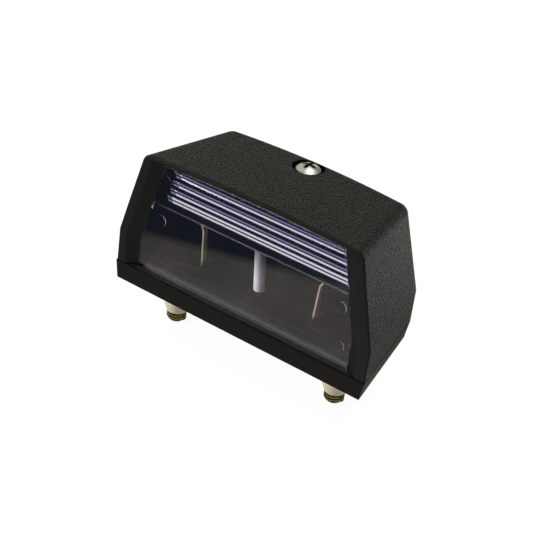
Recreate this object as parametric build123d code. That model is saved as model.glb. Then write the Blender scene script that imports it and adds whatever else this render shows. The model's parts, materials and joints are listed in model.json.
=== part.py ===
"""Number plate lamp: a black hood over a clear prism lens, screwed to a flat base with two terminal studs.

The origin is the middle of the stud row on the flat underside. X runs along the width, -Y is the lens
side and +Z is up. All lengths are millimetres. Distances called a setback are measured back from the
front face.
"""
from build123d import *
from math import radians, sqrt, tan
import os

# Hood and base, outside
WIDTH = 100.0            # across the front at the seam
BACK_WIDTH = 80.0        # across the back at the seam
DEPTH = 45.2             # front face to back face at the seam
BASE_HEIGHT = 6.4        # underside to seam
BASE_DRAFT = 1.0         # inset of the underside at the sides and the back
KINK_HEIGHT = 17.9       # where the sides start to lean in
ROOF_HEIGHT = 50.2       # crest of the arched roof
TOP_WIDTH = 83.6         # across the front at the height of the crest
TOP_BACK_WIDTH = 70.0    # across the back at the height of the crest
TOP_DEPTH = 37.7         # front face to back face at the height of the crest
ROOF_CROWN = 1.3         # rise of the roof arch over the top width
BACK_BOW = 1.1           # bulge of the back face
BACK_CORNER = 4.0        # plan radius of the back corners
ROOF_ROUND = 3.8         # rounding between roof, sides and back
FRONT_CHAMFER = 0.5      # chamfer of the front face's outer edges

# Hood, inside
WALL = 2.0               # sides and back
ROOF_WALL = 1.4
LEG_WIDTH = 3.5          # flat front of the frame beside the window
LEG_BEVEL = 3.9          # width of the slope from the flat front to the lens
LEG_DEPTH = 3.2          # front face to the seat of the lens flange

# Lens
LENS_RECESS = 2.0        # front face to the lens face
LENS_PLATE = 2.5         # clear plate
LENS_FLANGE = 2.5        # flange behind the frame
LENS_BORDER = 0.2        # frame's inner edge to the sides of the clear plate
LENS_SILL = 1.5          # thick rim along the bottom and the top
PRISM_LEDGE = 31.5       # height of the flat ledge under the prism block
PRISM_BLOCK = 5.2        # depth of the prism block behind the plate
PRISM_HEEL = 0.7         # upright face from the ledge to the first prism
PRISM_PITCH = 3.1
PRISM_LEAN = 28.0        # degrees of each prism's upper face from upright
PRISM_UNDERCUT = 60.0    # degrees of each prism's lower face from upright
PRISM_COUNT = 4
PRISM_HEAD = 1.9         # upright face above the last prism
MARK_RADIUS = 2.0        # round ejector marks on the back of the plate
MARK_HEIGHT = 0.3
MARK_LOW = 12.4          # height of the lower marks
MARK_LOW_SPREAD = 37.0   # centre line to the outer lower marks
MARK_HIGH = 25.8         # height of the upper marks
MARK_HIGH_SPREAD = 35.6  # centre line to the upper marks

# Base, inside
BASE_FLOOR = 2.4
BASE_RIM = 2.0           # wall of the rim that stands inside the hood
DECK_HEIGHT = 10.4       # top of the rim and of the contact shelves

# Terminals
STUD_SPACING = 65.6
STUD_SETBACK = 13.5      # front face to the stud row
STUD_RADIUS = 3.0        # threaded end
SHANK_RADIUS = 3.2       # plain part in the bush, the base and the strip
STUD_DROP = 14.8         # length below the underside
STUD_CHAMFER = 0.8
STUD_HEAD_RADIUS = 5.0
STUD_HEAD_HEIGHT = 2.6
STUD_SLOT_WIDTH = 1.4
STUD_SLOT_DEPTH = 1.2
STUD_BOSS_RADIUS = 6.6
BUSH_RADIUS = 5.0
BUSH_SEAT = 1.2          # depth of the bush in the underside
BUSH_BARREL = 7.5        # straight part below the underside
BUSH_TIP = 3.5           # tapered part
BUSH_LIP = 0.3           # wall left at the tip

# Contact strips
STRIP_THICKNESS = 0.6
STRIP_WIDTH = 9.0
ARM_WIDTH = 1.9
ARM_FORWARD = 1.1        # arm's centre line in front of the stud row
ARM_SPREAD = 22.3        # centre line to the foot of each arm
ARM_LEAN = 0.9           # outward lean of the arm at its top
ARM_DROP = 12.8          # top of the arm below the bulb's axis
BOW_OUT = 24.8           # centre line to the bow of the arm
BOW_DROP = 9.8           # bow below the bulb's axis
PADDLE_REACH = 4.2       # paddle above and below the bulb's axis
FLARE_OUT = 2.6
FLARE_RISE = 2.4
STRIP_BEND = 1.2
FOOT_OVERHANG = 5.6      # foot past the stud's axis

# Festoon bulb
BULB_SETBACK = 15.8      # front face to the bulb's axis
BULB_DROP = 12.8         # crest of the roof to the bulb's axis
BULB_LENGTH = 41.0       # tip to tip
GLASS_LENGTH = 27.0
GLASS_WALL = 0.6
CAP_RADIUS = 4.25
CAP_WALL = 0.4
CAP_LENGTH = 5.6         # straight part
CAP_CONE = 3.4
CAP_TIP_RADIUS = 1.2
FILAMENT_RADIUS = 0.25
COIL_RADIUS = 0.7
COIL_LENGTH = 12.0

# White rest under the bulb
REST_SETBACK = 13.2
REST_LEAN = 5.5          # degrees to the left of upright
REST_RADIUS = 1.9
REST_FOOT = 12.3         # height of its seat
REST_LIP = 1.2           # front lip above the lowest line of the glass
REST_SPIGOT_RADIUS = 1.2
REST_SPIGOT = 5.0
REST_BOSS_RADIUS = 3.6

# Cover screw
SCREW_SETBACK = 31.1
SCREW_RADIUS = 2.0
SCREW_LENGTH = 30.0
SCREW_HEAD_RADIUS = 4.1
SCREW_HEAD_HEIGHT = 3.4
SCREW_HEAD_SIDE = 1.7    # straight side of the domed head
CROSS_LENGTH = 4.6
CROSS_WIDTH = 1.1
CROSS_DEPTH = 1.7
SCREW_RECESS_RADIUS = 5.5
SCREW_RECESS_DEPTH = 2.3
RECESS_WALL = 1.6
PILLAR_RADIUS = 5.0
SCREW_GRIP = 21.9        # head seat to the top of the base's pillar
INSERT_RADIUS = 3.0
INSERT_LENGTH = 8.0

# Clearances
FIT = 0.15               # between pieces that slip together
THREAD_FIT = 0.05        # between a plain shank and the bore it screws into

# Values worked out from the sizes above
FRONT = -STUD_SETBACK
SIDE_LEAN = (WIDTH - TOP_WIDTH) / 2 / (ROOF_HEIGHT - KINK_HEIGHT)
BACK_SIDE_LEAN = (BACK_WIDTH - TOP_BACK_WIDTH) / 2 / (ROOF_HEIGHT - KINK_HEIGHT)
BACK_LEAN = (DEPTH - TOP_DEPTH) / (ROOF_HEIGHT - KINK_HEIGHT)
ROOF_RADIUS = ((TOP_WIDTH / 2) ** 2 + ROOF_CROWN ** 2) / (2 * ROOF_CROWN)
FLANGE_FACE = LEG_DEPTH + FIT
FLANGE_BACK = FLANGE_FACE + LENS_FLANGE
PLATE_BACK = LENS_RECESS + LENS_PLATE
PRISM_NOSE = PRISM_PITCH / (1 + tan(radians(PRISM_UNDERCUT)) / tan(radians(PRISM_LEAN)))
PRISM_DEPTH = PRISM_NOSE * tan(radians(PRISM_UNDERCUT))
RIM_FRONT = FLANGE_BACK + FIT
LENS_BOTTOM = BASE_HEIGHT + FIT
STRIP_TOP = DECK_HEIGHT + STRIP_THICKNESS
THREAD_TOP = -BUSH_BARREL - BUSH_TIP
SCREW_SEAT = ROOF_HEIGHT - SCREW_RECESS_DEPTH
PILLAR_HEIGHT = SCREW_SEAT - SCREW_GRIP
BULB_HEIGHT = ROOF_HEIGHT - BULB_DROP
GLASS_RADIUS = CAP_RADIUS - CAP_WALL - THREAD_FIT
BULB_Y = FRONT + BULB_SETBACK
REST_Y = FRONT + REST_SETBACK
SCREW_Y = FRONT + SCREW_SETBACK


def section(z, side=0.0, front=0.0, back=0.0):
    """Plan section of the hood at height z, drawn in from its side, front and back faces."""
    rise = max(z - KINK_HEIGHT, 0.0)
    front_half = WIDTH / 2 - SIDE_LEAN * rise
    back_half = BACK_WIDTH / 2 - BACK_SIDE_LEAN * rise
    depth = DEPTH - BACK_LEAN * rise - BACK_BOW
    run = (front_half - back_half) / depth
    near = front_half - side - run * front
    far = back_half - side + run * back
    front_y = FRONT + front
    back_y = FRONT + depth - back
    sides = Polyline((-far, back_y), (-near, front_y), (near, front_y), (far, back_y))
    bulge = ThreePointArc((far, back_y), (0, back_y + BACK_BOW), (-far, back_y))
    face = make_face(sides + bulge)
    corners = face.vertices().sort_by(Axis.Y)[-2:]
    return Plane.XY.offset(z) * fillet(corners, max(BACK_CORNER - back, FIT))


def above_roof(drop=0.0):
    """Everything above the arched roof, lowered by drop."""
    reach = WIDTH
    radius = ROOF_RADIUS - drop
    centre = ROOF_HEIGHT - ROOF_RADIUS
    edge = centre + sqrt(radius ** 2 - reach ** 2)
    lid = ROOF_HEIGHT + WIDTH / 2
    arch = ThreePointArc((-reach, edge), (0, centre + radius), (reach, edge))
    box = Polyline((reach, edge), (reach, lid), (-reach, lid), (-reach, edge))
    return extrude(Plane.XZ * make_face(arch + box), DEPTH * 2, both=True)


def stack(bottom, plan, drop):
    """Solid through the plan sections from a bottom height up to the roof, lowered by drop."""
    levels = [bottom, KINK_HEIGHT, ROOF_HEIGHT + ROOF_CROWN]
    form = Part()
    for low, high in zip(levels, levels[1:]):
        form += loft([plan(low), plan(high)], ruled=True)
    return form - above_roof(drop)


def hood_form(bottom, drop=0.0, side=0.0, front=0.0, back=0.0):
    """Solid of the hood's shape from a bottom height up to the roof, drawn in on each side."""
    return stack(bottom, lambda z: section(z, side, front, back), drop)


def bevel_section(z):
    """Plan section of the opening in front of the lens, wider towards the front face."""
    half = WIDTH / 2 - SIDE_LEAN * max(z - KINK_HEIGHT, 0.0) - LEG_WIDTH
    slope = LEG_BEVEL / LENS_RECESS
    mouth = half + slope * WALL
    throat = half - LEG_BEVEL
    outline = Polyline(
        (-mouth, FRONT - WALL), (mouth, FRONT - WALL), (throat, FRONT + LENS_RECESS),
        (-throat, FRONT + LENS_RECESS), close=True)
    return Plane.XY.offset(z) * make_face(outline)


def upright(x, y, low, high, radius):
    """Vertical round bar between two heights."""
    return Pos(x, y, low) * Cylinder(radius, high - low, align=(Align.CENTER, Align.CENTER, Align.MIN))


def rounded_hood():
    """Outer solid of the hood with its edges rounded."""
    body = hood_form(BASE_HEIGHT)
    roof_edges = [e for e in body.edges() if e.center().Z > ROOF_HEIGHT - 2 * ROOF_CROWN]
    behind = [e for e in roof_edges if e.center().Y > FRONT + FRONT_CHAMFER]
    body = fillet(behind, ROOF_ROUND)
    face = body.faces().sort_by(Axis.Y)[0]
    outline = [e for e in face.edges() if e.center().Z > BASE_HEIGHT + FRONT_CHAMFER]
    return chamfer(outline, FRONT_CHAMFER)


def cover():
    """Hood with a window framed by two bevelled legs, and a boss for the screw under the roof."""
    outer = rounded_hood()
    under = BASE_HEIGHT - WALL
    cavity = hood_form(under, drop=ROOF_WALL, side=WALL, front=LEG_DEPTH, back=WALL)
    window = hood_form(under, drop=ROOF_WALL, side=LEG_WIDTH + LEG_BEVEL, back=WALL)
    bevel = stack(under, bevel_section, ROOF_WALL)
    shell = outer - cavity - window - bevel
    boss_bottom = PILLAR_HEIGHT + FIT
    boss = upright(0, SCREW_Y, boss_bottom, ROOF_HEIGHT, PILLAR_RADIUS)
    cup = upright(0, SCREW_Y, SCREW_SEAT - RECESS_WALL, ROOF_HEIGHT, SCREW_RECESS_RADIUS + RECESS_WALL)
    shell += (boss + cup) & outer
    recess = upright(0, SCREW_Y, SCREW_SEAT, ROOF_HEIGHT + WALL, SCREW_RECESS_RADIUS)
    hole = upright(0, SCREW_Y, under, ROOF_HEIGHT, SCREW_RADIUS + FIT)
    return shell - recess - hole


def prism_profile():
    """Side profile of the prism block: a flat ledge, then saw-tooth prisms one above the other."""
    plate = FRONT + PLATE_BACK
    root = plate + PRISM_BLOCK
    level = PRISM_LEDGE + PRISM_HEEL
    points = [(plate, PRISM_LEDGE), (root, PRISM_LEDGE), (root, level)]
    for row in range(PRISM_COUNT):
        points += [(root + PRISM_DEPTH, level + PRISM_NOSE), (root, level + PRISM_PITCH)]
        level += PRISM_PITCH
    points += [(root, level + PRISM_HEAD), (plate, level + PRISM_HEAD)]
    return make_face(Polyline(*points, close=True))


def lens():
    """Clear moulding: a plate in the window, a flange behind the legs and a ribbed prism block."""
    roof_gap = ROOF_WALL + FIT
    flange = hood_form(LENS_BOTTOM, drop=roof_gap, side=WALL + FIT, front=FLANGE_FACE, back=WALL)
    throat = LEG_WIDTH + LEG_BEVEL + FIT
    plate = hood_form(LENS_BOTTOM, drop=roof_gap, side=throat, front=LENS_RECESS, back=WALL)
    pocket_bottom = LENS_BOTTOM + LENS_SILL
    rim = throat + LENS_BORDER
    pocket = hood_form(pocket_bottom, drop=roof_gap + LENS_SILL, side=rim, front=PLATE_BACK, back=WALL)
    behind = Pos(0, FRONT + FLANGE_BACK, 0) * Box(
        WIDTH * 2, DEPTH * 2, ROOF_HEIGHT * 3, align=(Align.CENTER, Align.MIN, Align.CENTER))
    body = flange + plate - behind - pocket
    ribs = extrude(Plane.YZ * prism_profile(), WIDTH, both=True)
    room = hood_form(pocket_bottom, drop=roof_gap + LENS_SILL / 2, side=rim, front=LENS_RECESS)
    body += ribs & room
    spots = [(-MARK_LOW_SPREAD, MARK_LOW), (0, MARK_LOW), (MARK_LOW_SPREAD, MARK_LOW)]
    spots += [(-MARK_HIGH_SPREAD, MARK_HIGH), (MARK_HIGH_SPREAD, MARK_HIGH)]
    for x, z in spots:
        body += Pos(x, FRONT + PLATE_BACK, z) * Rot(90, 0, 0) * Cylinder(MARK_RADIUS, MARK_HEIGHT * 2)
    return body


def base():
    """Tray with a flat underside, a rim inside the hood, contact shelves, a rest boss and a screw pillar."""
    underside = section(0, side=BASE_DRAFT, back=BASE_DRAFT)
    body = loft([underside, section(BASE_HEIGHT)], ruled=True)
    rim_inset = WALL + FIT
    rim = section(BASE_HEIGHT, side=rim_inset, front=RIM_FRONT, back=rim_inset)
    body += extrude(rim, DECK_HEIGHT - BASE_HEIGHT)
    inner = rim_inset + BASE_RIM
    tray = section(BASE_FLOOR, side=inner, front=RIM_FRONT + BASE_RIM, back=inner)
    body -= extrude(tray, DECK_HEIGHT)
    body += upright(0, REST_Y, 0, REST_FOOT, REST_BOSS_RADIUS)
    body += upright(0, SCREW_Y, 0, PILLAR_HEIGHT, PILLAR_RADIUS)
    for sign in (-1, 1):
        stud_x = sign * STUD_SPACING / 2
        body += upright(stud_x, 0, 0, DECK_HEIGHT, STUD_BOSS_RADIUS)
        shelf_length = STUD_SPACING / 2 - ARM_SPREAD + STRIP_BEND
        body += Pos(stud_x - sign * shelf_length / 2, 0, 0) * Box(
            shelf_length, STRIP_WIDTH, DECK_HEIGHT, align=(Align.CENTER, Align.CENTER, Align.MIN))
        body -= upright(stud_x, 0, 0, DECK_HEIGHT, SHANK_RADIUS + FIT)
        body -= upright(stud_x, 0, 0, BUSH_SEAT, BUSH_RADIUS + FIT)
    body -= upright(0, REST_Y, REST_FOOT - REST_SPIGOT - FIT, REST_FOOT, REST_SPIGOT_RADIUS + THREAD_FIT)
    body -= upright(0, SCREW_Y, PILLAR_HEIGHT - INSERT_LENGTH, PILLAR_HEIGHT, INSERT_RADIUS + THREAD_FIT)
    tip = SCREW_SEAT - SCREW_LENGTH
    body -= upright(0, SCREW_Y, tip - WALL, PILLAR_HEIGHT, SCREW_RADIUS + FIT)
    return body


def terminal_stud(sign):
    """Brass stud: a slotted head that clamps the contact strip, a plain shank and a threaded end."""
    x = sign * STUD_SPACING / 2
    thread = upright(x, 0, -STUD_DROP, THREAD_TOP, STUD_RADIUS)
    thread = chamfer(thread.edges().sort_by(Axis.Z)[0], STUD_CHAMFER)
    shank = upright(x, 0, THREAD_TOP, STRIP_TOP, SHANK_RADIUS)
    top = STRIP_TOP + STUD_HEAD_HEIGHT
    head = upright(x, 0, STRIP_TOP, top, STUD_HEAD_RADIUS)
    slot = Pos(x, 0, top) * Box(STUD_HEAD_RADIUS * 3, STUD_SLOT_WIDTH, STUD_SLOT_DEPTH * 2)
    return thread + shank + head - slot


def stud_bush(sign):
    """Insulating bush on the stud, seated in the underside and tapered at its tip."""
    x = sign * STUD_SPACING / 2
    bore = SHANK_RADIUS + THREAD_FIT
    outline = Polyline(
        (bore, BUSH_SEAT), (BUSH_RADIUS, BUSH_SEAT), (BUSH_RADIUS, -BUSH_BARREL),
        (bore + BUSH_LIP, THREAD_TOP), (bore, THREAD_TOP), close=True)
    return Pos(x, 0, 0) * revolve(Plane.XZ * make_face(outline), Axis.Z)


def contact(sign):
    """Springy strip: a foot under the stud's head, a narrow arm and a paddle that holds the bulb's cap."""
    foot_end = STUD_SPACING / 2 + FOOT_OVERHANG
    middle = DECK_HEIGHT + STRIP_THICKNESS / 2
    paddle = BULB_LENGTH / 2 - CAP_CONE / 3
    paddle_bottom = BULB_HEIGHT - PADDLE_REACH
    paddle_top = BULB_HEIGHT + PADDLE_REACH
    path = FilletPolyline(
        (foot_end, middle), (ARM_SPREAD, middle), (ARM_SPREAD + ARM_LEAN, BULB_HEIGHT - ARM_DROP),
        (BOW_OUT, BULB_HEIGHT - BOW_DROP), (paddle, paddle_bottom), (paddle, paddle_top),
        (paddle + FLARE_OUT, paddle_top + FLARE_RISE), radius=STRIP_BEND)
    arm_front = -ARM_FORWARD - ARM_WIDTH / 2
    paddle_width = 2 * (BULB_Y - arm_front)
    ribbon = make_face(offset(path, STRIP_THICKNESS / 2, side=Side.BOTH))
    strip = extrude(Plane.XZ * ribbon, paddle_width, both=True)
    from_front = (Align.CENTER, Align.MIN, Align.MIN)
    outline = Pos(0, -STRIP_WIDTH / 2, 0) * Box(WIDTH, STRIP_WIDTH, STRIP_TOP + STRIP_BEND, align=from_front)
    outline += Pos(0, arm_front, 0) * Box(WIDTH, ARM_WIDTH, ROOF_HEIGHT, align=from_front)
    outline += Pos(0, arm_front, paddle_bottom + STRIP_BEND) * Box(
        WIDTH, paddle_width, ROOF_HEIGHT, align=from_front)
    strip &= outline
    strip -= upright(STUD_SPACING / 2, 0, 0, STRIP_TOP + FIT, SHANK_RADIUS + FIT)
    cone_radius = CAP_TIP_RADIUS + (CAP_RADIUS - CAP_TIP_RADIUS) / 2
    strip -= Pos(paddle, BULB_Y, BULB_HEIGHT) * Rot(0, 90, 0) * Cylinder(cone_radius, ARM_SPREAD)
    return strip if sign > 0 else mirror(strip, Plane.YZ)


def bulb_axis(shape):
    """Turns a shape made about Z so that it lies along the bulb's axis."""
    return Pos(0, BULB_Y, BULB_HEIGHT) * Rot(0, 90, 0) * shape


def bulb_glass():
    """Glass tube whose ends go into the caps."""
    bore = GLASS_RADIUS - GLASS_WALL
    return bulb_axis(Cylinder(GLASS_RADIUS, GLASS_LENGTH) - Cylinder(bore, GLASS_LENGTH))


def bulb_cap(sign):
    """Metal cap with a cone that sits in the contact's hole."""
    tip = BULB_LENGTH / 2
    shoulder = tip - CAP_CONE
    mouth = shoulder - CAP_LENGTH
    inside = CAP_RADIUS - CAP_WALL
    outline = Polyline(
        (0, GLASS_LENGTH / 2), (inside, GLASS_LENGTH / 2), (inside, mouth), (CAP_RADIUS, mouth),
        (CAP_RADIUS, shoulder), (CAP_TIP_RADIUS, tip), (0, tip), close=True)
    cap = bulb_axis(revolve(Plane.XZ * make_face(outline), Axis.Z))
    return cap if sign > 0 else mirror(cap, Plane.YZ)


def bulb_filament():
    """Filament coil on its two lead wires."""
    wire = Cylinder(FILAMENT_RADIUS, GLASS_LENGTH)
    return bulb_axis(wire + Cylinder(COIL_RADIUS, COIL_LENGTH))


def bulb_rest():
    """White rod on the base, leaning a little, with a saddle for the glass and a spigot in its boss."""
    lean = Pos(0, REST_Y, REST_FOOT) * Rot(0, -REST_LEAN, 0)
    rod = lean * Cylinder(REST_RADIUS, BULB_HEIGHT * 2)
    height = BULB_HEIGHT - GLASS_RADIUS + REST_LIP - REST_FOOT
    rod &= Pos(0, REST_Y, REST_FOOT) * Box(
        BULB_HEIGHT, GLASS_RADIUS * 2, height, align=(Align.CENTER, Align.CENTER, Align.MIN))
    saddle = bulb_axis(Cylinder(GLASS_RADIUS + FIT, GLASS_LENGTH))
    return rod - saddle + upright(0, REST_Y, REST_FOOT - REST_SPIGOT, REST_FOOT, REST_SPIGOT_RADIUS)


def cover_screw():
    """Pan head screw with a cross recess."""
    dome = SCREW_HEAD_HEIGHT - SCREW_HEAD_SIDE
    crown = (SCREW_HEAD_RADIUS ** 2 + dome ** 2) / (2 * dome)
    half = SCREW_HEAD_RADIUS / 2
    rise = SCREW_HEAD_HEIGHT - crown + sqrt(crown ** 2 - half ** 2)
    sides = Polyline(
        (0, SCREW_HEAD_HEIGHT), (0, -SCREW_LENGTH), (SCREW_RADIUS, -SCREW_LENGTH), (SCREW_RADIUS, 0),
        (SCREW_HEAD_RADIUS, 0), (SCREW_HEAD_RADIUS, SCREW_HEAD_SIDE))
    top = ThreePointArc((SCREW_HEAD_RADIUS, SCREW_HEAD_SIDE), (half, rise), (0, SCREW_HEAD_HEIGHT))
    screw = revolve(Plane.XZ * make_face(sides + top), Axis.Z)
    for turn in (0, 90):
        slot = Box(CROSS_LENGTH, CROSS_WIDTH, CROSS_DEPTH * 2)
        screw -= Pos(0, 0, SCREW_HEAD_HEIGHT) * Rot(0, 0, turn) * slot
    return Pos(0, SCREW_Y, SCREW_SEAT) * screw


def screw_insert():
    """Brass insert in the pillar that takes the cover screw."""
    bottom = PILLAR_HEIGHT - INSERT_LENGTH
    insert = upright(0, SCREW_Y, bottom, PILLAR_HEIGHT, INSERT_RADIUS)
    return insert - upright(0, SCREW_Y, bottom, PILLAR_HEIGHT, SCREW_RADIUS + THREAD_FIT)


def main():
    nodes = {
        "cover": cover(),
        "lens": lens(),
        "base": base(),
        "cover_screw": cover_screw(),
        "screw_insert": screw_insert(),
        "bulb_rest": bulb_rest(),
        "bulb_glass": bulb_glass(),
        "bulb_filament": bulb_filament(),
    }
    for side, sign in (("left", -1), ("right", 1)):
        nodes[f"terminal_stud_{side}"] = terminal_stud(sign)
        nodes[f"stud_bush_{side}"] = stud_bush(sign)
        nodes[f"contact_{side}"] = contact(sign)
        nodes[f"bulb_cap_{side}"] = bulb_cap(sign)
    os.makedirs("parts", exist_ok=True)
    for name, shape in nodes.items():
        export_step(shape, f"parts/{name}.step")


main()
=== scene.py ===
"""Looks of the number plate lamp: camera, studio, finishes and the threads of the studs.

Lengths are metres in the frame's axes, and colours are linear red, green and blue.
"""
import json
from math import cos, pi, radians, sin

import bpy
from mathutils import Matrix, Vector


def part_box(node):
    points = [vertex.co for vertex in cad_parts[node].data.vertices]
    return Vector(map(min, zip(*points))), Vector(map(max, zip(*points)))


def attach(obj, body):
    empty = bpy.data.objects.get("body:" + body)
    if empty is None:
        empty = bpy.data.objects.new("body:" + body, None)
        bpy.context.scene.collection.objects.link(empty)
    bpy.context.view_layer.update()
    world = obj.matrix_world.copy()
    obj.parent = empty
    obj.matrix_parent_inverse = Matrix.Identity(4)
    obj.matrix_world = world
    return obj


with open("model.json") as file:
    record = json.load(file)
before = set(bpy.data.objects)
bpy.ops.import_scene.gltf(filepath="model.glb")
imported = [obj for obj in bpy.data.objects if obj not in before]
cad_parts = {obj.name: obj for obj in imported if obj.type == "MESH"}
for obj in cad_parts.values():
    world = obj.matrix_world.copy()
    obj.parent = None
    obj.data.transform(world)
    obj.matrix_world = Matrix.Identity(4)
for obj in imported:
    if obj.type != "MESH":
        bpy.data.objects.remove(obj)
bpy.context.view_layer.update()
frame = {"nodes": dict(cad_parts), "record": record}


def middle(box):
    """Centre of a box."""
    low, high = box
    return (low + high) / 2


# Camera, fitted to the photo's outline
IMAGE_PIXELS = 533
SENSOR_MM = 36.0
CLIP_START = 0.01
VIEW_AZIMUTH = radians(32.29)
VIEW_ELEVATION = radians(29.33)
VIEW_ROLL = radians(8.08)
VIEW_DISTANCE = 0.5
VIEW_CENTRE = Vector((0.0, 0.0065, 0.024))
PIXELS_PER_METRE = 3105.7
SHIFT_RIGHT_PIXELS = 11.73
SHIFT_UP_PIXELS = 16.73

# Places taken from the frame
FLOOR_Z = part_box("terminal_stud_left")[0].z
FRONT_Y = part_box("base")[0].y
SEAM_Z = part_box("cover")[0].z
SILL_RISE = 0.0015
SILL_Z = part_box("lens")[0].z + SILL_RISE
STUD_X = middle(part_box("terminal_stud_right")).x
SCREW_Y = middle(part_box("cover_screw")).y

# Floor, as light on the lamp and as the camera sees it
WHITE = (1.0, 1.0, 1.0)
FLOOR_REACH = 3.0
FLOOR_TONE = (0.85, 0.85, 0.83)
FLOOR_SEEN_TONE = (0.12, 0.12, 0.12)
FLOOR_SEEN_GLOW = 0.955
FLOOR_THROUGH_LENS = (0.012, 0.012, 0.035)

# Table as the lamp mirrors it, by distance ahead of the stud row, uneven in soft patches of light and
# dimmer to the left
AHEAD = (-0.316, -0.949, 0.0)
TABLE_REACH = 0.4
TABLE_BANDS = [
    (-0.300, (1.80, 1.77, 1.66)),
    (-0.150, (1.75, 1.72, 1.61)),
    (-0.080, (0.32, 0.31, 0.29)),
    (0.000, (0.75, 0.70, 0.63)),
    (0.0787, (0.75, 0.70, 0.63)),
    (0.0842, (0.12, 0.15, 0.20)),
    (0.130, (0.12, 0.15, 0.20)),
    (0.165, (0.28, 0.25, 0.48)),
    (0.230, (0.45, 0.42, 0.65)),
    (0.290, (0.95, 0.93, 1.00)),
]
TABLE_PATCH_NOISE = (0.3, 0.7)
TABLE_PATCH_LEVELS = (0.85, 1.15)
DIM_LEFT_X = (-0.075, 0.0)
DIM_LEFT_LEVELS = (0.78, 1.0)

# Room around: dim, with a pale backdrop at the back left and a window in front, its bands by rising height
ROOM_TONE = (0.068, 0.067, 0.056)
BACKDROP_TONE = (0.56, 0.575, 0.50)
BACKDROP_SIDE = (-0.75, 0.50, 0.43)
BACKDROP_EDGE = (0.35, 0.90)
WINDOW_EDGE = (0.3, 0.6)
WINDOW_BANDS = [
    (0.00, (0.10, 0.10, 0.16)),
    (0.25, (0.14, 0.13, 0.24)),
    (0.34, (0.17, 0.155, 0.29)),
    (0.43, (0.23, 0.21, 0.36)),
    (0.47, (0.73, 0.70, 0.79)),
    (0.62, (0.73, 0.70, 0.79)),
    (0.70, (0.10, 0.10, 0.12)),
]

# Studio lights, square and soft: name, place, width and watts
LIGHTS = [
    ("overhead", (0.15, 0.05, 0.85), 0.6, 4.0),
    ("front", (-0.55, -0.50, 0.22), 0.3, 3.5),
]

# Thread on the studs' lower ends, its flanks and crest as shares of the pitch
THREAD_PITCH = 0.001
THREAD_TURNS = 2.8
THREAD_STEPS = 40
THREAD_ROOT = 0.0029
THREAD_CREST = 0.0034
THREAD_LOW = FLOOR_Z + 0.0009
FLANK_SHARE = 0.42
CREST_SHARE = 0.10

# Black mouldings: grain on the outside, which slopes it takes, and the tones of each zone; the sides are
# painted lighter than the roof as painted light, the inside and the frame's right bevel darker as painted
# shade, and the base's ledge lighter as a painted sheen
PLASTIC_IOR = 1.5
COVER_GLOSS = 0.2
BASE_GLOSS = 0.12
CAVITY_CENTRE = (0.0, 0.009, 0.027)
OUTWARD_REACH = 0.004
UPWARD_SLOPES = (0.5, 0.8)
SIDE_LIGHT_SLOPES = (0.4, 0.8)
GRAINED_SLOPES = (-0.60, -0.45)
SHADED_BEVEL_SLOPES = (-0.6, -0.1)
FRAME_DEPTH = 0.0003
GRAIN_CELLS = 1500.0
GRAIN_SPECKS = 1600.0
GRAIN_HEIGHT = 0.0023
EDGE_RADIUS = 0.0003
BEVEL_SAMPLES = 4
INSIDE_ROUGHNESS = 0.85
OUTSIDE_ROUGHNESS = 0.50
ROOF_TONES = [(0.38, (0.008, 0.008, 0.0065)), (0.64, (0.047, 0.049, 0.040))]
SIDE_LIT_TONES = [(0.40, (0.010, 0.010, 0.008)), (0.60, (0.060, 0.059, 0.051))]
SMOOTH_TONES = [(0.0, (0.0055, 0.0052, 0.0042)), (1.0, (0.0075, 0.0072, 0.0058))]
# Inside tone, also used on the frame's right bevel: painted shade
INSIDE_SHADE_TONE = (0.003, 0.003, 0.0032)
SEAM_HALF = 0.00020
SEAM_TONE = (0.0005, 0.0005, 0.0005)
# Base's ledge in front of the lens, its upward face lightened by a painted sheen
RIM_Y = (FRONT_Y + 0.0004, FRONT_Y + 0.0010)
RIM_TOP = SEAM_Z + 0.0005
RIM_SHEEN_TONE = (0.034, 0.032, 0.026)

# Lens: its plate, the prism block behind it and the lines along its edges
LENS_IOR = 1.58
LENS_HAZE = (0.0, 0.04)
LENS_TINTS = [(0.93, 0.92, 0.99), (0.97, 0.96, 1.0)]
LENS_SHADOW = (0.95, 0.95, 0.97)
PLATE_FACE_Y = FRONT_Y + 0.0020
PLATE_BACK_Y = FRONT_Y + 0.0045
PLATE_SKIN = 0.0003
PLATE_HALF = 0.0417
KINK_Z = 0.0179
SIDE_LEAN = 0.2539
SIDE_LINE_HALF = 0.0003
SIDE_LINE_SHARE = 0.22
HEAD_Z = 0.0472
HEAD_LINE_HALF = 0.00016
ROOF_ARCH = 0.743
LEDGE_Z = 0.0315
LEDGE_LINE_HALF = 0.00025
PRISM_Y = PLATE_BACK_Y + 0.0052
PRISM_DEPTH = 0.00126
PRISM_MARGIN = 0.00003
# Dark diffuse laid over the glass as painted shade at the prisms' tips and valleys, on the ledge and on
# the sill
PRISM_SHADE_TONE = (0.006, 0.006, 0.012)
PRISM_SHADES = [(0.0, 0.0), (0.02, 0.9), (0.22, 0.9), (0.30, 0.0), (0.80, 0.0), (0.90, 0.85)]
LEVEL_HALF = 0.00004
LEVEL_SHADE_Y = (PLATE_BACK_Y + 0.0004, PLATE_BACK_Y + 0.0008)
LEVEL_SHADE = 0.7
LOWEST_PRISM_Z = 0.03412
LOWEST_PRISM_HALF = 0.00117
LOWEST_PRISM_TILT = 0.042
LOWEST_PRISM_START = 0.00002

# Round ejector marks on the lens: x, z and strength, lit from the upper right
MARKS = [
    (-0.037, 0.0124, 0.25),
    (0.0, 0.0124, 0.2),
    (0.037, 0.0124, 0.45),
    (-0.0356, 0.0258, 0.7),
    (0.0356, 0.0258, 0.7),
]
MARK_RADIUS = 0.0020
MARK_LINE_HALF = 0.00012
MARK_LIGHT = (500.0, 0.0, 300.0)
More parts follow.
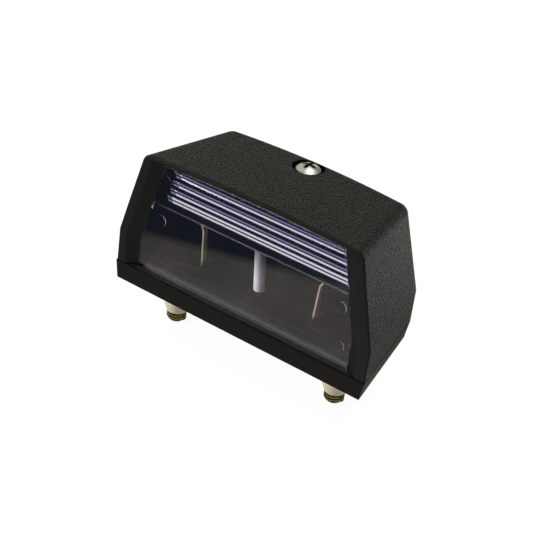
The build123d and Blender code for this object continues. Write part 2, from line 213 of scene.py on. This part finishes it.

# Metals and light plastics; where two heights are given, the first takes the painted shade and the second
# the clean tone; the strip's olive stain uses the same order
# Dark tone of painted shade on the metals and the rod inside the lamp
PAINTED_SHADE_TONE = (0.012, 0.011, 0.010)
BRASS_TONES = [(0.0, (0.02, 0.014, 0.005)), (0.25, (0.12, 0.095, 0.035)), (0.6, (0.45, 0.37, 0.17))]
BRASS_HEIGHTS = (0.002, -0.004)
ZINC_TONES = [(0.3, (0.56, 0.56, 0.49)), (0.7, (0.76, 0.76, 0.68))]
# Painted shade in the screw's cross slots
SLOT_SHADE_TONE = (0.10, 0.085, 0.05)
SLOT_HALF = 0.0005
SLOT_REACH = 0.001667
STRIP_TONES = [(0.64, 0.46, 0.35), (0.80, 0.56, 0.44)]
STRIP_SHADE_HEIGHTS = [(0.0120, 0.0140), (0.0335, 0.0305)]
STAIN_TONE = (0.46, 0.48, 0.24)
STAIN_HEIGHTS = (0.0205, 0.0240)
# The rod's upper end in painted shade
ROD_SHADE_HEIGHTS = (0.0310, 0.0170)
GLASS_IOR = 1.45


def set_inputs(tree, node, inputs):
    """Links a node's inputs to sockets, or sets them to numbers, vectors and colours."""
    for key, value in inputs.items():
        socket = node.inputs[key]
        if isinstance(value, bpy.types.NodeSocket):
            tree.links.new(value, socket)
        else:
            socket.default_value = (*value, 1.0) if socket.type == "RGBA" else value


def add_node(tree, kind, inputs=None, **settings):
    """Adds a shader node, with its settings and inputs."""
    node = tree.nodes.new("ShaderNode" + kind)
    for key, value in settings.items():
        setattr(node, key, value)
    set_inputs(tree, node, inputs or {})
    return node


def new_material(name, **values):
    """Principled material with constant values set on the shader's own sockets."""
    mat = bpy.data.materials.new(name)
    mat.use_nodes = True
    tree = mat.node_tree
    shader = tree.nodes["Principled BSDF"]
    set_inputs(tree, shader, {key.replace("_", " "): value for key, value in values.items()})
    return mat, tree, shader


def calc(tree, operation, *values):
    """Result of a math node."""
    return add_node(tree, "Math", dict(enumerate(values)), operation=operation).outputs[0]


def fold(tree, operation, first, *others):
    """One math operation over many values, such as their product or the largest of them."""
    for other in others:
        first = calc(tree, operation, first, other)
    return first


def share_of(tree, value, low, high, steps="LINEAR"):
    """Share that goes from zero at one value to one at the other."""
    inputs = {"Value": value, "From Min": low, "From Max": high}
    return add_node(tree, "MapRange", inputs, interpolation_type=steps).outputs["Result"]


def spread(tree, share, start, end):
    """Number that goes from start to end with a share."""
    return add_node(tree, "MapRange", {"Value": share, "To Min": start, "To Max": end}).outputs["Result"]


def near(tree, value, centre, half):
    """One where a value is within half of the centre, fading to zero at twice that distance."""
    gap = calc(tree, "ABSOLUTE", calc(tree, "SUBTRACT", value, centre))
    return share_of(tree, gap, half * 2, half)


def blend(tree, share, first, second):
    """Colour between two colours or colour sockets."""
    inputs = {"Factor": share, "A": first, "B": second}
    return add_node(tree, "Mix", inputs, data_type="RGBA").outputs["Result"]


def colour_ramp(tree, value, stops):
    """Colours between stops of (position, colour)."""
    node = add_node(tree, "ValToRGB", {"Fac": value})
    elements = node.color_ramp.elements
    while len(elements) < len(stops):
        elements.new(0.5)
    for element, (position, colour) in zip(elements, stops):
        element.position = position
        element.color = (*colour, 1.0)
    return node.outputs["Color"]


def object_place(tree):
    """Place on the object, which is also its place in the frame."""
    return add_node(tree, "TexCoord").outputs["Object"]


def axes_of(tree, vector):
    """A vector's three numbers."""
    return add_node(tree, "SeparateXYZ", {0: vector}).outputs


def minus(tree, vector, other):
    """Difference of two vectors."""
    return add_node(tree, "VectorMath", {0: vector, 1: other}, operation="SUBTRACT").outputs[0]


def dot(tree, vector, other):
    """Dot product of two vectors."""
    return add_node(tree, "VectorMath", {0: vector, 1: other}, operation="DOT_PRODUCT").outputs["Value"]


def length(tree, vector):
    """Length of a vector."""
    return add_node(tree, "VectorMath", {0: vector}, operation="LENGTH").outputs["Value"]


def noise(tree, place, scale, detail):
    """Soft random pattern between zero and one."""
    return add_node(tree, "TexNoise", {"Vector": place, "Scale": scale, "Detail": detail}).outputs["Fac"]


def ray_share(tree, kind):
    """One for rays of this kind, else zero."""
    return add_node(tree, "LightPath").outputs[kind]


def mix_shaders(tree, share, first, second):
    """Shader between two shaders."""
    return add_node(tree, "MixShader", {0: share, 1: first, 2: second}).outputs[0]


def set_surface(tree, surface):
    """Makes a shader the material's surface."""
    tree.links.new(surface, tree.nodes["Material Output"].inputs["Surface"])


def link_object(name, data):
    """Adds an object with this data to the scene."""
    thing = bpy.data.objects.new(name, data)
    bpy.context.scene.collection.objects.link(thing)
    return thing


def make_camera():
    """Camera at the photo's place, with its roll and framing."""
    flat = cos(VIEW_ELEVATION)
    back = Vector((sin(VIEW_AZIMUTH) * flat, -cos(VIEW_AZIMUTH) * flat, sin(VIEW_ELEVATION)))
    level = Vector((cos(VIEW_AZIMUTH), sin(VIEW_AZIMUTH), 0))
    upright = back.cross(level)
    right = level * cos(VIEW_ROLL) + upright * sin(VIEW_ROLL)
    up = upright * cos(VIEW_ROLL) - level * sin(VIEW_ROLL)
    data = bpy.data.cameras.new("camera")
    data.sensor_width = SENSOR_MM
    data.lens = SENSOR_MM * PIXELS_PER_METRE * VIEW_DISTANCE / IMAGE_PIXELS
    data.shift_x = -SHIFT_RIGHT_PIXELS / IMAGE_PIXELS
    data.shift_y = -SHIFT_UP_PIXELS / IMAGE_PIXELS
    data.clip_start = CLIP_START
    camera = link_object("camera", data)
    turn = Matrix((right, up, back)).transposed().to_4x4()
    camera.matrix_world = Matrix.Translation(VIEW_CENTRE + back * VIEW_DISTANCE) @ turn
    bpy.context.scene.camera = camera


def table_light(tree):
    """Table as the lamp mirrors it: bright behind, pale and then dark in front, with a bright end."""
    place = object_place(tree)
    along = share_of(tree, dot(tree, place, AHEAD), -TABLE_REACH, TABLE_REACH)
    stops = [(0.5 + 0.5 * metres / TABLE_REACH, colour) for metres, colour in TABLE_BANDS]
    # Soft patches of brighter and dimmer light on the mirrored table, seen as an uneven reflection in the
    # lens
    light_patches = share_of(tree, noise(tree, place, scale=45.0, detail=3.0), *TABLE_PATCH_NOISE)
    leftward = share_of(tree, axes_of(tree, place)["X"], *DIM_LEFT_X)
    levels = spread(tree, light_patches, *TABLE_PATCH_LEVELS), spread(tree, leftward, *DIM_LEFT_LEVELS)
    inputs = {"Color": colour_ramp(tree, along, stops), "Strength": calc(tree, "MULTIPLY", *levels)}
    return add_node(tree, "Emission", inputs).outputs[0]


def floor_finish():
    """White with a shadow to the camera, the table's light to reflections, dark through the lens."""
    mat, tree, shader = new_material("floor", Roughness=1.0, Specular_IOR_Level=0.0, Emission_Color=WHITE)
    seen = ray_share(tree, "Is Camera Ray")
    set_inputs(tree, shader, {
        "Base Color": blend(tree, seen, FLOOR_TONE, FLOOR_SEEN_TONE),
        "Emission Strength": calc(tree, "MULTIPLY", seen, FLOOR_SEEN_GLOW),
    })
    mirrored = mix_shaders(tree, ray_share(tree, "Is Glossy Ray"), shader.outputs[0], table_light(tree))
    dark = add_node(tree, "Emission", {"Color": FLOOR_THROUGH_LENS}).outputs[0]
    set_surface(tree, mix_shaders(tree, ray_share(tree, "Is Transmission Ray"), mirrored, dark))
    return mat


def make_floor():
    """Square floor at the studs' tips."""
    mesh = bpy.data.meshes.new("floor")
    corners = [(-1, -1), (1, -1), (1, 1), (-1, 1)]
    mesh.from_pydata([(x * FLOOR_REACH, y * FLOOR_REACH, FLOOR_Z) for x, y in corners], [], [(0, 1, 2, 3)])
    mesh.materials.append(floor_finish())
    floor = link_object("floor", mesh)


def make_world():
    """Room around the lamp: white to the camera, with the window seen only through the lens."""
    world = bpy.data.worlds.new("studio")
    bpy.context.scene.world = world
    world.use_nodes = True
    tree = world.node_tree
    direction = add_node(tree, "TexCoord").outputs["Generated"]
    behind = share_of(tree, dot(tree, direction, BACKDROP_SIDE), *BACKDROP_EDGE, steps="SMOOTHSTEP")
    room = blend(tree, behind, ROOM_TONE, BACKDROP_TONE)
    front = share_of(tree, dot(tree, direction, AHEAD), *WINDOW_EDGE, steps="SMOOTHSTEP")
    through = calc(tree, "MULTIPLY", front, ray_share(tree, "Is Transmission Ray"))
    window = colour_ramp(tree, axes_of(tree, direction)["Z"], WINDOW_BANDS)
    room = blend(tree, through, room, window)
    seen = blend(tree, ray_share(tree, "Is Camera Ray"), room, WHITE)
    set_inputs(tree, tree.nodes["Background"], {"Color": seen})


def make_light(name, place, width, watts):
    """Square soft light aimed at the lamp, not seen through the lens."""
    data = bpy.data.lights.new(name, "AREA")
    data.shape = "SQUARE"
    data.size = width
    data.energy = watts
    light = link_object(name, data)
    light.location = place
    light.rotation_euler = (VIEW_CENTRE - Vector(place)).to_track_quat("-Z", "Y").to_euler()
    light.visible_transmission = False


def outer_share(tree, place, normal):
    """One outside and on the front frame, zero inside, low on the frame's right bevel, which takes the
    inside's painted shade.
    """
    facing = dot(tree, normal, minus(tree, place, CAVITY_CENTRE))
    frame_front = share_of(tree, axes_of(tree, place)["Y"], PLATE_FACE_Y + FRAME_DEPTH, PLATE_FACE_Y)
    lit = share_of(tree, axes_of(tree, normal)["X"], *SHADED_BEVEL_SLOPES)
    frame_share = calc(tree, "MULTIPLY", frame_front, lit)
    return calc(tree, "MAXIMUM", share_of(tree, facing, 0.0, OUTWARD_REACH), frame_share)


def rim_sheen_share(tree, place, upward):
    """One on the base's narrow ledge in front of the lens, where a painted sheen lightens its upward face.
    """
    axes = axes_of(tree, place)
    below = calc(tree, "LESS_THAN", axes["Z"], RIM_TOP)
    return fold(tree, "MULTIPLY", upward, share_of(tree, axes["Y"], *RIM_Y), below)


def seam_share(tree, place, upward):
    """One in the joint between the hood and the base."""
    joint = near(tree, axes_of(tree, place)["Z"], SEAM_Z, SEAM_HALF)
    return calc(tree, "MULTIPLY", joint, calc(tree, "SUBTRACT", 1.0, upward))


def grain_normal(tree, height):
    """Surface direction with softened edges and the grain's bumps."""
    edges = add_node(tree, "Bevel", {"Radius": EDGE_RADIUS}, samples=BEVEL_SAMPLES).outputs["Normal"]
    inputs = {"Height": height, "Strength": 1.0, "Distance": GRAIN_HEIGHT, "Normal": edges}
    return add_node(tree, "Bump", inputs).outputs["Normal"]


def black_plastic(name, grain, gloss):
    """Black moulding: grained outside, smooth on the front frame, dull inside; painted light makes the
    sides lighter than the roof, painted shade darkens the inside and a painted sheen lightens the base's
    ledge.
    """
    mat, tree, shader = new_material(name, IOR=PLASTIC_IOR, Specular_IOR_Level=gloss)
    place = object_place(tree)
    normal = add_node(tree, "NewGeometry").outputs["Normal"]
    slopes = axes_of(tree, normal)
    upward = share_of(tree, slopes["Z"], *UPWARD_SLOPES)
    side_light_share = share_of(tree, calc(tree, "ABSOLUTE", slopes["X"]), *SIDE_LIGHT_SLOPES)
    outside = outer_share(tree, place, normal)
    grained = fold(tree, "MULTIPLY", share_of(tree, slopes["Y"], *GRAINED_SLOPES), outside, grain)
    cells = add_node(tree, "TexVoronoi", {"Vector": place, "Scale": GRAIN_CELLS}, feature="SMOOTH_F1")
    cells = cells.outputs["Distance"]
    specks = noise(tree, place, scale=GRAIN_SPECKS, detail=2.0)
    # The sides take lighter tones than the roof: painted light from the side
    roof, side = (colour_ramp(tree, specks, tones) for tones in (ROOF_TONES, SIDE_LIT_TONES))
    grain_and_side_light = blend(tree, side_light_share, roof, side)
    smooth = blend(tree, rim_sheen_share(tree, place, upward), colour_ramp(tree, cells, SMOOTH_TONES), RIM_SHEEN_TONE)
    skin = blend(tree, outside, INSIDE_SHADE_TONE, blend(tree, grained, smooth, grain_and_side_light))
    seam = seam_share(tree, place, upward)
    dull = spread(tree, outside, INSIDE_ROUGHNESS, OUTSIDE_ROUGHNESS)
    set_inputs(tree, shader, {
        "Base Color": blend(tree, seam, skin, SEAM_TONE),
        "Roughness": calc(tree, "MAXIMUM", dull, seam),
        "Normal": grain_normal(tree, calc(tree, "MULTIPLY", calc(tree, "ADD", cells, specks), grained)),
    })
    return mat


def mark_arc(tree, x, z, mark_x, mark_z, strength):
    """Lit arc at the upper right of a round ejector mark."""
    flat = add_node(tree, "CombineXYZ", {"X": x, "Z": z}).outputs[0]
    offset = minus(tree, flat, (mark_x, 0.0, mark_z))
    ring = near(tree, length(tree, offset), MARK_RADIUS, MARK_LINE_HALF)
    lit = calc(tree, "MAXIMUM", dot(tree, offset, MARK_LIGHT), 0.0)
    return fold(tree, "MULTIPLY", ring, lit, strength)


def lens_lines(tree, place):
    """Frosted lines where the lens's edges catch the light: ledge, head, sides and ejector marks."""
    x, y, z = axes_of(tree, place)
    on_face = near(tree, y, PLATE_FACE_Y, PLATE_SKIN)
    on_back = near(tree, y, PLATE_BACK_Y, PLATE_SKIN)
    ledge = calc(tree, "MULTIPLY", near(tree, z, LEDGE_Z, LEDGE_LINE_HALF), on_back)
    arch = calc(tree, "MULTIPLY_ADD", calc(tree, "MULTIPLY", x, x), ROOF_ARCH, z)
    head = calc(tree, "MULTIPLY", near(tree, arch, HEAD_Z, HEAD_LINE_HALF), on_face)
    above_kink = calc(tree, "MAXIMUM", calc(tree, "SUBTRACT", z, KINK_Z), 0.0)
    reach = calc(tree, "MULTIPLY_ADD", above_kink, SIDE_LEAN, calc(tree, "ABSOLUTE", x))
    sides = fold(tree, "MULTIPLY", near(tree, reach, PLATE_HALF, SIDE_LINE_HALF), on_face, SIDE_LINE_SHARE)
    marks = [calc(tree, "MULTIPLY", mark_arc(tree, x, z, *mark), on_back) for mark in MARKS]
    return calc(tree, "MINIMUM", fold(tree, "MAXIMUM", ledge, head, sides, *marks), 1.0)


def prism_shade(tree, y, z):
    """Share of painted shade, a dark diffuse laid over the glass at the prisms' rounded tips and valleys,
    on the ledge below them and on the sill.
    """
    depth = share_of(tree, y, PRISM_Y - PRISM_MARGIN, PRISM_Y + PRISM_DEPTH)
    shade = colour_ramp(tree, depth, [(position, (grey, grey, grey)) for position, grey in PRISM_SHADES])
    levels = calc(tree, "MAXIMUM", near(tree, z, LEDGE_Z, LEVEL_HALF), near(tree, z, SILL_Z, LEVEL_HALF))
    behind = spread(tree, share_of(tree, y, *LEVEL_SHADE_Y), 0.0, LEVEL_SHADE)
    return calc(tree, "MAXIMUM", shade, calc(tree, "MULTIPLY", levels, behind))


def prism_normal(tree, y, z):
    """Surface direction of the lens, with the lowest prism's upper face a little steeper."""
    prisms = share_of(tree, y, PRISM_Y, PRISM_Y + LOWEST_PRISM_START)
    away = calc(tree, "ABSOLUTE", calc(tree, "SUBTRACT", z, LOWEST_PRISM_Z))
    lowest = calc(tree, "MULTIPLY", prisms, calc(tree, "LESS_THAN", away, LOWEST_PRISM_HALF))
    height = fold(tree, "MULTIPLY", z, LOWEST_PRISM_TILT, lowest)
    return add_node(tree, "Bump", {"Height": height, "Strength": 1.0, "Distance": 1.0}).outputs["Normal"]


def clear_lens():
    """Clear moulded plastic that lets the studio light through to the inside, with painted shade laid over
    its prisms.
    """
    mat, tree, shader = new_material("clear_lens", Transmission_Weight=1.0, IOR=LENS_IOR)
    place = object_place(tree)
    _, y, z = axes_of(tree, place)
    haze = noise(tree, place, scale=60.0, detail=3.0)
    set_inputs(tree, shader, {
        "Base Color": blend(tree, haze, *LENS_TINTS),
        "Roughness": calc(tree, "MAXIMUM", spread(tree, haze, *LENS_HAZE), lens_lines(tree, place)),
        "Normal": prism_normal(tree, y, z),
    })
    dark = add_node(tree, "BsdfDiffuse", {"Color": PRISM_SHADE_TONE}).outputs[0]
    shaded = mix_shaders(tree, prism_shade(tree, y, z), shader.outputs[0], dark)
    passing = add_node(tree, "BsdfTransparent", {"Color": LENS_SHADOW}).outputs[0]
    set_surface(tree, mix_shaders(tree, ray_share(tree, "Is Shadow Ray"), shaded, passing))
    return mat


def screw_metal():
    """Bright zinc, its cross slots in the head painted dark as painted shade."""
    mat, tree, shader = new_material("zinc", Metallic=1.0)
    place = object_place(tree)
    axes = axes_of(tree, place)
    x = calc(tree, "ABSOLUTE", axes["X"])
    y = calc(tree, "ABSOLUTE", calc(tree, "SUBTRACT", axes["Y"], SCREW_Y))
    cross = near(tree, calc(tree, "MINIMUM", x, y), 0.0, SLOT_HALF)
    inner = near(tree, calc(tree, "MAXIMUM", x, y), 0.0, SLOT_REACH)
    mottle = noise(tree, place, scale=900.0, detail=4.0)
    tone = colour_ramp(tree, mottle, ZINC_TONES)
    set_inputs(tree, shader, {
        "Base Color": blend(tree, calc(tree, "MULTIPLY", cross, inner), tone, SLOT_SHADE_TONE),
        "Roughness": spread(tree, mottle, 0.36, 0.56),
    })
    return mat


def thread_metal():
    """Dull brass, painted darker as painted shade in the thread's grooves and inside the lamp."""
    mat, tree, shader = new_material("brass", Metallic=1.0)
    place = object_place(tree)
    x, y, z = axes_of(tree, place)
    across = calc(tree, "SUBTRACT", calc(tree, "ABSOLUTE", x), STUD_X)
    radius = length(tree, add_node(tree, "CombineXYZ", {"X": across, "Y": y}).outputs[0])
    crest = share_of(tree, radius, THREAD_ROOT, THREAD_CREST)
    mottle = noise(tree, place, scale=900.0, detail=4.0)
    # Darkest between the thread's turns: painted shade in the grooves
    tone = colour_ramp(tree, calc(tree, "MULTIPLY", crest, mottle), BRASS_TONES)
    set_inputs(tree, shader, {
        "Base Color": blend(tree, share_of(tree, z, *BRASS_HEIGHTS), PAINTED_SHADE_TONE, tone),
        "Roughness": spread(tree, mottle, 0.25, 0.5),
    })
    return mat


def strip_metal():
    """Copper-coloured strip, painted darker at both ends as painted shade, with an olive stain low on the
    left one.
    """
    mat, tree, shader = new_material("bronze_strip", Metallic=0.2)
    place = object_place(tree)
    x, _, z = axes_of(tree, place)
    mottle = noise(tree, place, scale=500.0, detail=4.0)
    clean = calc(tree, "MAXIMUM", share_of(tree, z, *STAIN_HEIGHTS), calc(tree, "GREATER_THAN", x, 0.0))
    tone = blend(tree, clean, STAIN_TONE, blend(tree, mottle, *STRIP_TONES))
    # Both ends of the strips painted dark as painted shade
    for heights in STRIP_SHADE_HEIGHTS:
        tone = blend(tree, share_of(tree, z, *heights), PAINTED_SHADE_TONE, tone)
    set_inputs(tree, shader, {"Base Color": tone, "Roughness": spread(tree, mottle, 0.28, 0.56)})
    return mat


def cloudy(name, tones, roughness, scale, detail, heights=None, **values):
    """Material with a soft cloudy tone and roughness, in painted shade towards the first of two heights.
    """
    mat, tree, shader = new_material(name, **values)
    place = object_place(tree)
    cloud = noise(tree, place, scale, detail)
    tone = blend(tree, cloud, *tones)
    if heights:
        tone = blend(tree, share_of(tree, axes_of(tree, place)["Z"], *heights), PAINTED_SHADE_TONE, tone)
    set_inputs(tree, shader, {"Base Color": tone, "Roughness": spread(tree, cloud, *roughness)})
    return mat


def bulb_metal():
    """Plated caps and filament of the bulb."""
    tones = [(0.50, 0.50, 0.48), (0.70, 0.70, 0.68)]
    return cloudy("bulb_metal", tones, roughness=(0.21, 0.42), scale=500.0, detail=4.0, Metallic=1.0)


def bulb_glass():
    """Thin clear glass."""
    tones = [(0.90, 0.92, 0.92), (0.97, 0.98, 0.98)]
    return cloudy("bulb_glass", tones, roughness=(0.0, 0.05), scale=200.0, detail=2.0,
                  Transmission_Weight=1.0, IOR=GLASS_IOR)


def nylon():
    """Cream insulating plastic of the bushes."""
    tones = [(0.88, 0.81, 0.54), (0.95, 0.89, 0.64)]
    return cloudy("nylon", tones, roughness=(0.36, 0.54), scale=300.0, detail=3.0, IOR=PLASTIC_IOR)


def white_plastic():
    """White rod, painted dark towards its upper end as painted shade under the hood."""
    tones = [(0.90, 0.87, 0.84), (1.0, 0.97, 0.94)]
    return cloudy("white_plastic", tones, roughness=(0.32, 0.48), scale=200.0, detail=3.0,
                  heights=ROD_SHADE_HEIGHTS, IOR=PLASTIC_IOR)


def make_thread(name, x):
    """Raised helical thread on a stud's lower end."""
    section = [(THREAD_ROOT, -FLANK_SHARE), (THREAD_CREST, -CREST_SHARE), (THREAD_CREST, CREST_SHARE),
               (THREAD_ROOT, FLANK_SHARE)]
    steps = int(THREAD_TURNS * THREAD_STEPS)
    points = []
    for step in range(steps + 1):
        angle = 2 * pi * step / THREAD_STEPS
        level = THREAD_LOW + THREAD_PITCH * step / THREAD_STEPS
        for radius, rise in section:
            points.append((x + radius * cos(angle), radius * sin(angle), level + rise * THREAD_PITCH))
    size = len(section)
    faces = [tuple(range(size)), tuple(reversed(range(steps * size, steps * size + size)))]
    for step in range(steps):
        low, high = step * size, (step + 1) * size
        for corner in range(size):
            after = (corner + 1) % size
            faces.append((low + after, low + corner, high + corner, high + after))
    mesh = bpy.data.meshes.new(name)
    mesh.from_pydata(points, [], faces)
    piece = link_object(name, mesh)
    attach(piece, "root")
    return piece


def finish_pieces():
    """Adds the threads and gives each piece its finish; the base is smooth all over."""
    finishes = {
        "black_plastic": black_plastic("black_plastic", grain=1.0, gloss=COVER_GLOSS),
        "clear_lens": clear_lens(),
        "zinc": screw_metal(),
        "brass": thread_metal(),
        "bronze_strip": strip_metal(),
        "bulb_metal": bulb_metal(),
        "nylon": nylon(),
        "white_plastic": white_plastic(),
        "bulb_glass": bulb_glass(),
    }
    for side in ("left", "right"):
        thread = make_thread(f"thread_{side}", middle(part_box(f"terminal_stud_{side}")).x)
        thread.data.materials.append(finishes["brass"])
    slots = {part["node"]: part["material_slot"] for part in frame["record"]["subparts"]}
    for name, node in frame["nodes"].items():
        node.data.materials.clear()
        node.data.materials.append(finishes[slots[name]])
    smooth_black = black_plastic("base_plastic", grain=0.0, gloss=BASE_GLOSS)
    frame["nodes"]["base"].data.materials[0] = smooth_black


bpy.context.scene.view_settings.view_transform = "Standard"
make_camera()
make_floor()
make_world()
for light_values in LIGHTS:
    make_light(*light_values)
finish_pieces()
